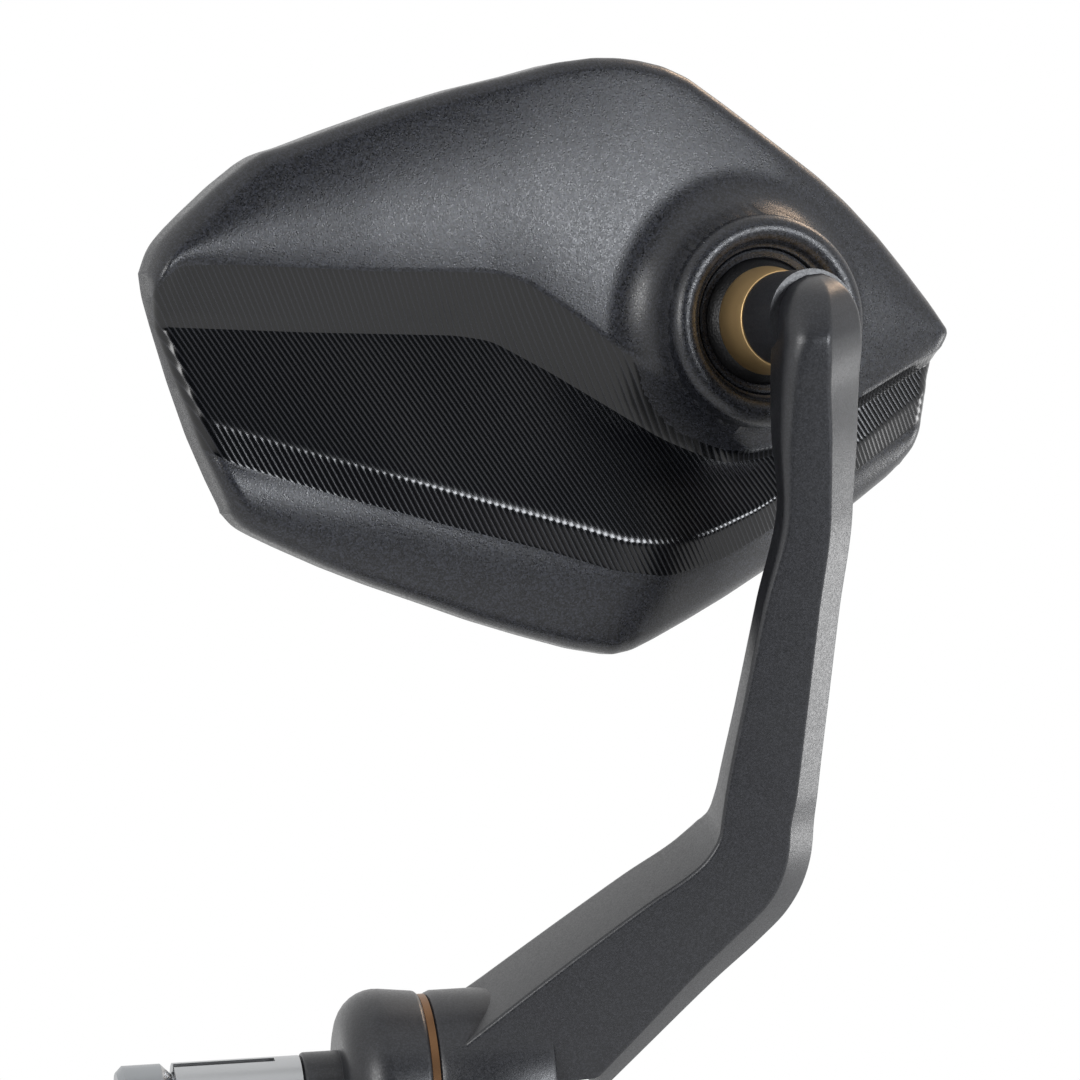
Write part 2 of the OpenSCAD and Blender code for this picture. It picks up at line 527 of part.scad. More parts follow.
module mirror_glass() color("#cfd6dc") at_head() intersection() {
    translate([0, 0, ledge_z - pad_t - 5]) linear_extrude(5)
        polygon(plate(rim_wall + gasket_w + 2 * glass_gap));
    translate([mid[0], mid[1], ledge_z - pad_t - glass_t - glass_sag + glass_curve])
        rotate_extrude($fn = fine) glass_profile();
}

module rim_gasket() color("#1a1a1b") at_head() translate([0, 0, 0.2 - rim_depth]) linear_extrude(2.4)
    difference() {
        polygon(plate(rim_wall + glass_gap));
        polygon(plate(rim_wall + gasket_w + glass_gap));
    }

bar_adapter();
expander_sleeve();
expander_cone();
clamp_bolt();
bolt_washer();
spring_washer();
friction_washer();
arm();
hub_bush();
hub_cap();
cap_seal();
stud_grub_screw();
ball_stud();
socket_cup();
head_housing();
thrust_ring();
disc_spring();
clamp_plate();
clamp_screws();
glass_pad();
mirror_glass();
rim_gasket();
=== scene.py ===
"""Looks of the bar end mirror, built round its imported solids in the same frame, in metres."""
import bmesh
import bpy
import numpy as np
from mathutils import Matrix, Vector


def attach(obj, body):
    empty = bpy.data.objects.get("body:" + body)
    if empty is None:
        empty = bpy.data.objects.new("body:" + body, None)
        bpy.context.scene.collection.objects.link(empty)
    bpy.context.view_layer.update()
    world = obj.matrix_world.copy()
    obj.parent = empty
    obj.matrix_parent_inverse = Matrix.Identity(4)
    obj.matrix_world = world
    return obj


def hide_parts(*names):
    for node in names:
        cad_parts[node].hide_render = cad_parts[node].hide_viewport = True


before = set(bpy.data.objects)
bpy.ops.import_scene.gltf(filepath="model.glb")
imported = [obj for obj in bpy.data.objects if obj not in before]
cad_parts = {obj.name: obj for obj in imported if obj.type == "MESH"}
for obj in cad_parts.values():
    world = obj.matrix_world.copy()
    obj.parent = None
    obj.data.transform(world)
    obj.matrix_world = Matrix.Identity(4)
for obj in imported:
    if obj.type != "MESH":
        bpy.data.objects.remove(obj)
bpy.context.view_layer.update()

# Back of the head: one milled aluminium shell. Its upper face is bead blasted, the valley below
# it is cut by a ball cutter in parallel passes, and all of it is anodised black. It is a fine grid
# over the same rows and heights as the solid housing.
def linear(code):
    """Linear colour of an sRGB hex code."""
    parts = np.array([int(code[k:k + 2], 16) / 255 for k in (1, 3, 5)])
    return (*np.where(parts <= 0.04045, parts / 12.92, ((parts + 0.055) / 1.055) ** 2.4), 1.0)


def add(tree, kind, values=None, links=None):
    """A shader node. A value goes to the input of that name or number, or else to the node."""
    made = tree.nodes.new("ShaderNode" + kind)
    for key, value in (values or {}).items():
        if isinstance(key, int) or key in made.inputs:
            made.inputs[key].default_value = value
        else:
            setattr(made, key, value)
    for key, source in (links or {}).items():
        tree.links.new(source, made.inputs[key])
    return made


def surface(name, colour, roughness, metallic=0.0):
    """A material with one principled shader, as (material, tree, shader)."""
    made = bpy.data.materials.new(name)
    made.use_nodes = True
    shader = made.node_tree.nodes["Principled BSDF"]
    shader.inputs["Base Color"].default_value = linear(colour)
    shader.inputs["Roughness"].default_value = roughness
    shader.inputs["Metallic"].default_value = metallic
    return made, made.node_tree, shader


def grain(tree, shader, size_mm, depth_mm):
    """Relief of that grain size and depth in the shader's normal, from a noise over the object.
    Returns the place in grains, for flecks."""
    place = add(tree, "TexCoord").outputs["Object"]
    grains = add(tree, "Mapping", {"Scale": [1000 / size_mm] * 3}, {"Vector": place}).outputs[0]
    noise = add(tree, "TexNoise", {"Scale": 1.0, "Detail": 2.0}, {"Vector": grains})
    bump = add(tree, "Bump", {"Distance": depth_mm / 1000}, {"Height": noise.outputs[0]})
    tree.links.new(bump.outputs[0], shader.inputs["Normal"])
    return grains


def flecks(tree, shader, grains, dark, bright, smooth, rough):
    """Cells the size of the grains, each with its own shade and roughness."""
    cells = add(tree, "TexVoronoi", {"Scale": 1.1}, {"Vector": grains})
    level = add(tree, "SeparateColor", links={0: cells.outputs["Color"]})
    share = add(tree, "MapRange", {"From Min": 0.3, "From Max": 1.0}, {"Value": level.outputs[0]})
    blend = add(tree, "Mix", {"data_type": "RGBA", 6: linear(dark), 7: linear(bright)},
                {0: share.outputs[0]})
    gloss = add(tree, "MapRange", {"To Min": rough, "To Max": smooth}, {"Value": level.outputs[1]})
    tree.links.new(blend.outputs[2], shader.inputs["Base Color"])
    tree.links.new(gloss.outputs[0], shader.inputs["Roughness"])


def solid(name, points_mm, faces):
    """A mesh object from points in millimetres, with its normals turned outward."""
    mesh = bpy.data.meshes.new(name)
    mesh.from_pydata((np.asarray(points_mm) / 1000).tolist(), [], [list(f) for f in faces])
    shape = bmesh.new()
    shape.from_mesh(mesh)
    bmesh.ops.recalc_face_normals(shape, faces=shape.faces)
    shape.to_mesh(mesh)
    shape.free()
    made = bpy.data.objects.new(name, mesh)
    bpy.context.scene.collection.objects.link(made)
    return made


def piece(name, points_mm, faces, materials, body, nodes, kinds=None, sharp_deg=32):
    """A finished piece that rides on the body and stands for the nodes. The kinds say which of
    the materials each face has."""
    made = solid(name, points_mm, faces)
    for material in materials:
        made.data.materials.append(material)
    if kinds is not None:
        made.data.polygons.foreach_set("material_index", np.asarray(kinds, dtype=np.int32))
    made.data.shade_smooth()
    made.data.set_sharp_from_angle(angle=np.radians(sharp_deg))
    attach(made, body)
    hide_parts(*nodes)


# The head's frame: x along the head, y up its back and z out of it, with the ball's centre as zero
TILT, YAW = np.radians([75, 15])
HEAD_AXES = np.array([[np.cos(YAW), np.sin(YAW), 0],
                      [-np.sin(YAW) * np.cos(TILT), np.cos(YAW) * np.cos(TILT), np.sin(TILT)],
                      [np.sin(YAW) * np.sin(TILT), -np.cos(YAW) * np.sin(TILT), np.cos(TILT)]])
BALL = np.array([70.0, 25.0, 116.5])


def at_head(points):
    """Points of the head's frame in the part's frame."""
    return BALL + np.asarray(points, float) @ HEAD_AXES


# The outline's four sides, the four lines between the facets and the heights along them, in the
# head's frame: [x, y] or [x, z], but [y, x] for LEFT and RIGHT. Line 1 bounds the blasted face. A
# facet slopes down from it to line 2, the valley, the next one rises to line 3, the crest, and the
# last one drops to line 4, above the lower wall.
TOP = [[-95.5, 17.4], [-95, 19.6], [-93.3, 22.3], [-91, 24.4], [-88, 26.7], [-82.7, 30.5],
       [-77.6, 33.6], [-75.1, 34.7], [-71.7, 35.3], [-62.9, 37.5], [-52.9, 39.8], [-43, 41.6],
       [-33.1, 42.9], [-26.3, 44], [-20, 44.2], [-16, 43.8], [-12.6, 43.1], [-8.4, 41.8], [-4.4, 39.7],
       [1.6, 34.9], [9.6, 28.2], [17.1, 22.2], [22.3, 17.3], [27.6, 11.4], [31.8, 6.1], [36.2, 0.2],
       [38.2, -3.1], [39, -5]]
BOTTOM = [[-86.4, -20], [-85.6, -21.7], [-84.2, -23.1], [-82.2, -24.4], [-78.3, -26.7], [-71.1, -30.7],
          [-63.9, -34.3], [-55.1, -38.3], [-46.9, -42.1], [-38.9, -45.4], [-31, -48.4], [-24.5, -50.2],
          [-21.2, -49.9], [-17.1, -48.6], [-10.5, -46.2], [-3.6, -43.5], [3.5, -40.4], [12, -36.4],
          [22.1, -31.1], [28.3, -27.7], [30.8, -25.9]]
LEFT = [[-20, -86.4], [-15, -88.3], [-7.7, -90.7], [0.9, -92.8], [9.9, -94.6], [14.5, -95.4],
        [17.4, -95.5]]
RIGHT = [[-25.9, 30.8], [-23.4, 32.8], [-20.6, 34.1], [-18.1, 34.8], [-15.5, 35.2], [-12.7, 35.8],
         [-9.6, 37.3], [-7.4, 38], [-5, 39]]
LINE_1 = [[-96, 14], [-94, 17], [-91.5, 18.6], [-82, 17.7], [-61, 14.5], [-42, 12.3], [-36, 10], [-28, 3.5],
          [-20, -3.8], [-8, -15], [-2, -20], [4, -19.5], [21, -13.6], [36, -8], [43, -6]]
LINE_2 = [[-95, 9.6], [-70, 6.1], [-46, 3.1], [-40, 1.6], [-31, -4.4], [-22, -11], [-14, -17],
          [-8, -20.3], [-4, -22], [4, -21.8], [21, -15.8], [36, -10], [42, -8]]
LINE_3 = [[-93, -4.2], [-76, -11.4], [-57, -18.9], [-42, -24.9], [-30, -29.5], [-24, -32],
          [-17, -33.3], [-10, -32.6], [0, -29.7], [21, -20.9], [33, -15], [41, -11]]
LINE_4 = [[-91, -9], [-87, -12.3], [-71, -19.2], [-54, -25.8], [-36, -32.4], [-26, -36.6],
          [-17, -38.6], [-7, -37], [5, -32.2], [22, -24.6], [33, -19.5], [40, -15]]
RISE_TOP = [[-96, -10.5], [-78, -8], [-60, -5.5], [-33, -2.5], [-12, -1.2], [10, -1.5], [28, -4],
            [42, -7]]
RISE_1 = [[-96, -8.5], [-60, -4.5], [-36, -2.3], [-20, -1.2], [4, -1.5], [18, -2.2], [43, -6.5]]
RISE_2 = [[-95, -12.2], [-60, -11.2], [-40, -10.2], [-20, -7.5], [-8, -5.2], [6, -4.8], [21, -5.6],
          [42, -9.5]]
RISE_3 = [[-93, -9.5], [-60, -5], [-20, -2], [0, -2.5], [21, -5], [41, -9]]
RISE_4 = [[-91, -9.8], [-60, -6.2], [-20, -3.4], [0, -3.9], [21, -6.4], [40, -10]]
RISE_BOTTOM = [[-96, -10], [-60, -10], [-20, -9.5], [10, -10.5], [44, -12]]
# Rounding at the outline, bulges of face and lower wall, and the steeper strip above line 2
EDGE_ROUND, FACE_BULGE, WALL_BULGE, STRIP_W, STRIP_RISE = 2.2, 1.3, 0.8, 1.9, 1.3
# How far the facets blend into one another: everywhere, more at line 3, and how near to that line
SOFT, CREST_SOFT, CREST_NEAR = 0.12, 0.7, 1.5
# Rim and ledge for the glass
RIM_DEPTH, SKIN_WALL, RIM_WALL, LEDGE_W, LEDGE_Z = 17.0, 2.4, 1.2, 3.4, -14.2
# Boss: its ridge, the fillet round it and where that is widest, the hole in the skin beneath it,
# the ridge's own rounding and top, the socket for the cup, and the opening over it
BOSS_R, BOSS_FILLET, FILLET_SHARE, FILLET_AT, HOLE_R = 16.8, 8.0, 0.22, 130, 15.0
RIDGE_ROUND, RIDGE_Z, SOCKET_R, MOUTH_R = 2.2, 7.0, 13.05, 11.63
# Milling: how far from the ball's axis it begins, the cutter's step from pass to pass, which is
# that of the photo's lines, and the relief that the passes leave
MILL_FROM, PASS_W, PASS_DEPTH = 20.3, 0.8, 0.108
# Columns along the head between its rounded ends, and rows over each rounded end
COLUMNS, END_STEPS = 330, 8


def follow(x, table, reach=None):
    """Value of a table of [x, value] at x, with its bends rounded over the reach to either side."""
    if reach is None:
        reach = 1.2 if table in (TOP, BOTTOM, LEFT, RIGHT) else 2.6
    table = np.array(table, float)
    steps = np.linspace(-1, 1, 9)
    weights = 1.1 - np.abs(steps)
    return sum(w * np.interp(x + s * reach, table[:, 0], table[:, 1])
               for s, w in zip(steps, weights)) / weights.sum()


def lean(x, table):
    """Length along a table's curve for each unit of x."""
    return np.sqrt(1 + ((follow(x + 1, table) - follow(x - 1, table)) / 2) ** 2)


def ramp(value, keys, results):
    """Piecewise straight line through rows of keys and results that are arrays themselves."""
    out = results[0] + 0 * value
    for k in range(len(keys) - 1):
        share = np.clip((value - keys[k]) / np.maximum(keys[k + 1] - keys[k], 1e-6), 0, 1)
        out = out + (results[k + 1] - results[k]) * share
    return out


def plain_height(x, y):
    """The back's height: a bulged face above line 1, facets between the lines, a bulged wall
    from line 4 down to the lower edge."""
    y1, y2, y3, y4 = (follow(x, t) for t in (LINE_1, LINE_2, LINE_3, LINE_4))
    z1, z2, z3, z4 = (follow(x, t, 4) for t in (RISE_1, RISE_2, RISE_3, RISE_4))
    top, low = follow(x, TOP), follow(x, BOTTOM)
    v = np.clip((y - y1) / (top - y1), 0, 1)
    w = np.clip((y - low) / (y4 - low), 0, 1)
    strip_y = y2 + np.minimum(STRIP_W, (y1 - y2) / 2)
    strip_z = z2 + np.minimum(STRIP_RISE, (z1 - z2) / 2)
    z = ramp(y, [low, y4, y3, y2, strip_y, y1, top],
             [follow(x, RISE_BOTTOM), z4, z3, z2, strip_z, z1, follow(x, RISE_TOP)])
    return z + FACE_BULGE * 4 * v * (1 - v) + WALL_BULGE * 4 * w * (1 - w)


def back_height(x, y):
    """The plain height, averaged over a short reach that is wider at the crest, less the quarter
    round at the edge, plus the fillet that leads up to the boss."""
    reach = SOFT + CREST_SOFT * np.exp(-((y - follow(x, LINE_3)) / CREST_NEAR) ** 2)
    steps = np.linspace(-1, 1, 7)
    weights = 1.1 - np.abs(steps)
    z = sum(w * plain_height(x, y + s * reach) for s, w in zip(steps, weights)) / weights.sum()
    d = np.minimum(np.minimum((follow(x, TOP) - y) / lean(x, TOP),
                              (y - follow(x, BOTTOM)) / lean(x, BOTTOM)),
                   np.minimum((x - follow(y, LEFT)) / lean(y, LEFT),
                              (follow(y, RIGHT) - x) / lean(y, RIGHT)))
    near = 1 - np.clip(d / EDGE_ROUND, 0, 1)
    widest = np.cos(np.arctan2(y, x) - np.radians(FILLET_AT))
    curve = BOSS_FILLET * (1 - FILLET_SHARE + FILLET_SHARE * widest)
    out = np.clip(BOSS_R + curve - np.hypot(x, y), 0, curve)
    fillet = curve - np.sqrt(curve ** 2 - out ** 2)
    return z - EDGE_ROUND * (1 - np.sqrt(1 - near ** 2)) + fillet


# Row places between the lines, and how many steps each stretch takes
STRETCHES = [(0, 3, 7), (3, 6, 12), (6, 8, 12), (8, 11, 22), (11, 12, 5), (12, 13, 12),
             (13, 18, 34), (18, 21, 8)]
rows = np.concatenate([[0.0]] + [a + (b - a) * np.arange(1, n + 1) / n for a, b, n in STRETCHES])
quarter = 1 - np.cos(np.radians(np.linspace(0, 90, END_STEPS)))
inside = np.linspace(0, 1, COLUMNS)


def row_height(i, x):
    """Where row place i runs at x: 0 is the lower edge, 6 line 4, 8 line 3, 11 line 2, 21 the top."""
    low, top = follow(x, BOTTOM), follow(x, TOP)
    y1, y2, y3, y4 = (follow(x, t) for t in (LINE_1, LINE_2, LINE_3, LINE_4))
    e_low = np.minimum(EDGE_ROUND * lean(x, BOTTOM), 0.8 * (y4 - low))
    e_top = np.minimum(EDGE_ROUND * lean(x, TOP), 0.8 * (top - y1))
    bend = lambda t: 1 - np.cos(np.pi / 2 * np.clip(t, 0, 1))
    y = ramp(i, [3.0, 6, 8, 11, 12, 13, 18],
             [low + e_low, y4, y3, y2, y2 + np.minimum(STRIP_W, (y1 - y2) / 2), y1, top - e_top])
    y = np.where(i < 3, low + e_low * bend(i / 3), y)
    return np.where(i > 18, top - e_top * bend((21 - i) / 3), y)


start, end = np.full(len(rows), -90.0), np.full(len(rows), 40.0)
for _ in range(4):
    start = follow(row_height(rows, start), LEFT, 1.2)
    end = follow(row_height(rows, end), RIGHT, 1.2)
column_places = [start[:, None] + EDGE_ROUND * quarter[None, :-1],
                 (start + EDGE_ROUND)[:, None] + (end - start - 2 * EDGE_ROUND)[:, None] * inside,
                 end[:, None] - EDGE_ROUND * quarter[None, -2::-1]]
grid_x = np.concatenate(column_places, axis=1)
grid_y = row_height(rows[:, None] + 0 * grid_x, grid_x)
grid_z = back_height(grid_x, grid_y)
count_r, count_c = grid_x.shape
# Middle of the outline and its half width and height
MIDDLE, HALF = np.array([-26.0, -3.0]), np.array([70.0, 47.0])


def shrink(xy, d):
    """Points moved towards the head's middle so that its outline goes in by d."""
    return MIDDLE + (xy - MIDDLE) * (1 - d / HALF)


outer = np.stack([grid_x, grid_y, grid_z], -1).reshape(-1, 3)
inner_xy = shrink(outer[:, :2], LEDGE_W)
inner = np.column_stack([inner_xy, np.maximum(LEDGE_Z + 0.5, outer[:, 2] - SKIN_WALL)])
index = np.arange(count_r * count_c).reshape(count_r, count_c)
quads = np.stack([index[:-1, :-1], index[:-1, 1:], index[1:, 1:], index[1:, :-1]], -1)
far = np.hypot(grid_x, grid_y) >= HOLE_R
kept = far[:-1, :-1] | far[:-1, 1:] | far[1:, 1:] | far[1:, :-1]
row_of_quad = np.repeat((rows[:-1] + rows[1:])[:, None] / 2, count_c - 1, 1)
size = count_r * count_c
shell = [quads[kept], quads[kept] + size]
cut_by_mill = (row_of_quad > 6) & (row_of_quad < 13) & (np.hypot(grid_x, grid_y) > MILL_FROM)[:-1, :-1]
kinds = [cut_by_mill[kept].astype(int), np.zeros(kept.sum(), int)]
across = kept[:, :-1] != kept[:, 1:]
along = kept[:-1] != kept[1:]
hole = np.concatenate([np.stack([index[:-1, 1:-1][across], index[1:, 1:-1][across]], -1),
                       np.stack([index[1:-1, :-1][along], index[1:-1, 1:][along]], -1)])
shell.append(np.column_stack([hole, hole[:, ::-1] + size]))
kinds.append(np.zeros(len(hole), int))
loop = np.concatenate([index[0, :], index[1:, -1], index[-1, -2::-1], index[-2:0:-1, 0]])
rim_xy, rim_z = outer[loop, :2], outer[loop, 2]
# The rim's rings: inset from the outline, then the share of the way down to the rim's edge, with
# the height over that edge, or else a height of its own
RIM_STEPS = [(0.0, 0.55, None), (0.22, 0.6, None), (0.22, 1.0, -0.35), (0.3, 1.0, -0.1),
             (0.55, 1.0, 0.0), (RIM_WALL, 1.0, 0.0), (RIM_WALL, None, LEDGE_Z),
             (LEDGE_W - 0.3, None, LEDGE_Z)]
rings, ring_starts = [], []
for inset, share, level in RIM_STEPS:
    if share is None:
        z = np.full(len(loop), level)
    elif level is None:
        z = rim_z + (-RIM_DEPTH - rim_z) * share
    else:
        z = np.full(len(loop), -RIM_DEPTH - level)
    ring_starts.append(2 * size + len(loop) * len(rings))
    rings.append(np.column_stack([shrink(rim_xy, inset), z]))
edges = [loop] + [s + np.arange(len(loop)) for s in ring_starts] + [loop + size]
for a, b in zip(edges[:-1], edges[1:]):
    shell.append(np.stack([a, np.roll(a, -1), np.roll(b, -1), b], -1))
    kinds.append(np.zeros(len(loop), int))


def revolve(profile, sides=128, closed=True):
    """Points and faces of an [r, z] profile turned round z. An open profile starts and ends on
    the axis, where all its sides meet in one point."""
    profile = np.array(profile, float)
    turn = np.arange(sides) * 2 * np.pi / sides
    body = profile if closed else profile[1:-1]
    points = np.stack([body[:, 0, None] * np.cos(turn), body[:, 0, None] * np.sin(turn),
                       body[:, 1, None] + 0 * turn], -1).reshape(-1, 3)
    ids = np.arange(len(points)).reshape(len(body), sides)
    a, b = (ids, np.roll(ids, -1, 0)) if closed else (ids[:-1], ids[1:])
    faces = np.stack([a, np.roll(a, -1, 1), np.roll(b, -1, 1), b], -1).reshape(-1, 4).tolist()
    if not closed:
        points = np.vstack([points, [0, 0, profile[0, 1]], [0, 0, profile[-1, 1]]])
        n = len(points)
        faces += np.stack([ids[0], np.roll(ids[0], 1), np.full(sides, n - 2)], -1).tolist()
        faces += np.stack([ids[-1], np.roll(ids[-1], -1), np.full(sides, n - 1)], -1).tolist()
    return points, faces


def rounded(corners, steps=5):
    """Closed outline through corners given as [a, b, radius], each one turned into an arc."""
    corners = np.array(corners, float)
    here, radius = corners[:, :2], corners[:, 2]
    back, ahead = np.roll(here, 1, 0) - here, np.roll(here, -1, 0) - here
    back /= np.linalg.norm(back, axis=1)[:, None]
    ahead /= np.linalg.norm(ahead, axis=1)[:, None]
    half = np.arccos(np.clip((back * ahead).sum(1), -1, 1)) / 2
    reach = radius / np.tan(half)
    t = np.linspace(0, 1, steps)[None, :, None]
    first, last = here + back * reach[:, None], here + ahead * reach[:, None]
    weight = np.sin(half)[:, None, None]
    b0, b1, b2 = (1 - t) ** 2, 2 * t * (1 - t) * weight, t ** 2
    arcs = (b0 * first[:, None] + b1 * here[:, None] + b2 * last[:, None]) / (b0 + b1 + b2)
    return arcs.reshape(-1, 2)


arc = lambda cr, cz, r, a, b, n: [[cr + r * np.cos(t), cz + r * np.sin(t)]
                                  for t in np.radians(np.linspace(a, b, n))]
socket_arc = [[SOCKET_R * np.sin(t), SOCKET_R * np.cos(t)] for t in np.radians(np.linspace(64, 90, 8))]
boss_profile = (arc(BOSS_R - RIDGE_ROUND, RIDGE_Z, RIDGE_ROUND, 0, 172, 20)
                + [[12.1, 6.9], [11.75, 6.75], [MOUTH_R, 6.5], [MOUTH_R, 5.92]] + socket_arc
                + [[SOCKET_R, -14.1], [BOSS_R, -14.1], [BOSS_R, -3.0], [BOSS_R, 5.2]])
boss_points, boss_faces = revolve(boss_profile)
skin_points = np.vstack([outer, inner] + rings + [boss_points])
skin_faces = np.concatenate(shell).tolist()
offset = len(skin_points) - len(boss_points)
skin_faces += [[k + offset for k in f] for f in boss_faces]
kinds = np.concatenate(kinds + [np.zeros(len(boss_faces), int)])

# Bead-blasted aluminium, anodised black: a dull sparkle, as each dimple has its own slope and
# gloss. The dimples are drawn at 0.24 mm, coarser than real ones, so that they show.
blasted, tree, shader = surface("blasted_black", "#101114", 0.34)
flecks(tree, shader, grain(tree, shader, 0.24, 0.04), "#0e0f12", "#2c2e35", 0.24, 0.44)

# Milled aluminium, anodised black: glossy grooves side by side, which break reflections up into fine
# bright and dark lines, with painted shade in each groove and a painted highlight on each ridge
milled, tree, shader = surface("milled_black", "#08090b", 0.22)
place = add(tree, "TexCoord").outputs["Object"]
PASS_NORMAL = 0.90 * HEAD_AXES[0] + 0.43 * HEAD_AXES[1]
passes = add(tree, "VectorMath", {"operation": "DOT_PRODUCT", 1: PASS_NORMAL * 1000 / PASS_W}, {0: place})
part = add(tree, "Math", {"operation": "FRACT"}, {0: passes.outputs["Value"]})
centred = add(tree, "Math", {"operation": "SUBTRACT", 1: 0.5}, {0: part.outputs[0]})
scallop = add(tree, "Math", {"operation": "POWER", 1: 2.0}, {0: centred.outputs[0]}).outputs[0]
lines = add(tree, "MapRange", {"From Max": 0.25, "To Min": 0.14, "To Max": 0.34}, {"Value": scallop})
tree.links.new(lines.outputs[0], shader.inputs["Roughness"])
# Base colour: a painted highlight on the ridges between passes and painted shade in the grooves
painted_ridge_light = add(tree, "MapRange", {"From Min": 0.08, "From Max": 0.25}, {"Value": scallop})
painted_groove_shade = add(tree, "Mix", {"data_type": "RGBA", 6: linear("#050608"), 7: linear("#202126")},
            {0: painted_ridge_light.outputs[0]})
tree.links.new(painted_groove_shade.outputs[2], shader.inputs["Base Color"])
cut = add(tree, "Bump", {"Distance": PASS_DEPTH / 1000}, {"Height": scallop})
tree.links.new(cut.outputs[0], shader.inputs["Normal"])
piece("head_back", at_head(skin_points), skin_faces, [blasted, milled], "head", ["head_housing"],
      kinds, 40)

# Ball stud: turned brass. The ball itself is painted near black as painted shade, as it sits in the boss's
# shadow, and only the satin collar at its neck shows as a gold ring between the boss and the stem.
BALL_R, SHANK_R, SHANK_END = 11.5, 3.95, 24.5
COLLAR_R, COLLAR_FROM, COLLAR_END_R, COLLAR_TO = 8.6, 5.6, 7.6, 13.5


def on_sphere(r, first, last, n):
    """Profile points on a sphere, from one angle off its axis to another."""
    return [[r * np.sin(t), r * np.cos(t)] for t in np.radians(np.linspace(first, last, n))]


def grained(name, colour, roughness, metallic, size_mm, depth_mm):
    """A material of one colour with a grain of that size and depth."""
    made, tree, shader = surface(name, colour, roughness, metallic)
    grain(tree, shader, size_mm, depth_mm)
    return made


# Turned brass: satin gold, hardly any relief
brass = grained("turned_brass", "#d8b885", 0.46, 1.0, 0.5, 0.004)
# Brass ball painted near black and dull: painted shade round the collar
painted_shade_ball = grained("ball_painted_shade", "#0c0c0e", 0.42, 0.0, 0.34, 0.1)
points, faces = revolve([[0, -9.0]] + on_sphere(BALL_R, 141.5, 46.8, 40) + [[0, 7.87]], closed=False)
piece("ball", at_head(points), faces, [painted_shade_ball], "ball", ["ball_stud"])
points, faces = revolve(rounded(
    [[SHANK_R, COLLAR_FROM, 0.1], [COLLAR_R, COLLAR_FROM, 0.1], [COLLAR_R, 8.0, 0.3], [7.9, 11.6, 0.5],
     [COLLAR_END_R, COLLAR_TO, 0.2], [SHANK_R, COLLAR_TO, 0.2]], 6))
piece("collar", at_head(points), faces, [brass], "ball", ["ball_stud"])
points, faces = revolve([[0, 7.0], [SHANK_R, 7.0], [SHANK_R, SHANK_END - 0.2], [SHANK_R - 0.35, SHANK_END],
                         [0, SHANK_END]], closed=False)
piece("stud_shank", at_head(points), faces, [brass], "ball", ["ball_stud"])

# Socket cup: a turned ring of aluminium in which the ball turns. It shows as the dark collar
# round the brass.
CUP_R, CUP_BORE = 13.0, 11.55
# Blasted and anodised as the head's back, but painted a little darker: painted shade in the pit round the
# ball
cup, tree, shader = surface("cup_painted_darker", "#101114", 0.36)
flecks(tree, shader, grain(tree, shader, 0.24, 0.04), "#0c0d10", "#2a2c33", 0.24, 0.42)
points, faces = revolve(on_sphere(CUP_R, 99, 60.5, 16) + on_sphere(CUP_R - 0.25, 59.3, 59.3, 1)
                        + on_sphere(CUP_BORE + 0.25, 59.0, 59.0, 1) + on_sphere(CUP_BORE, 60, 99, 16))
piece("cup_ring", at_head(points), faces, [cup], "cup", ["socket_cup"])

# Arm: one forged and milled aluminium bar, bead blasted and anodised. It has a flat front, a
# narrow bevel along its outboard edge, a hub for the adapter's stub and a stem for the ball.
# Hub along the handlebar: outside, bore for the adapter's stub and recess for the cap
HUB_R, HUB_FROM, HUB_TO, HUB_BORE, RECESS_R, RECESS_FROM = 15.5, 14.2, 32.7, 8.75, 11.6, 25.1
# Stem towards the ball
STEM_R, STEM_FROM, STEM_TO = 7.5, 13.5, 23.5
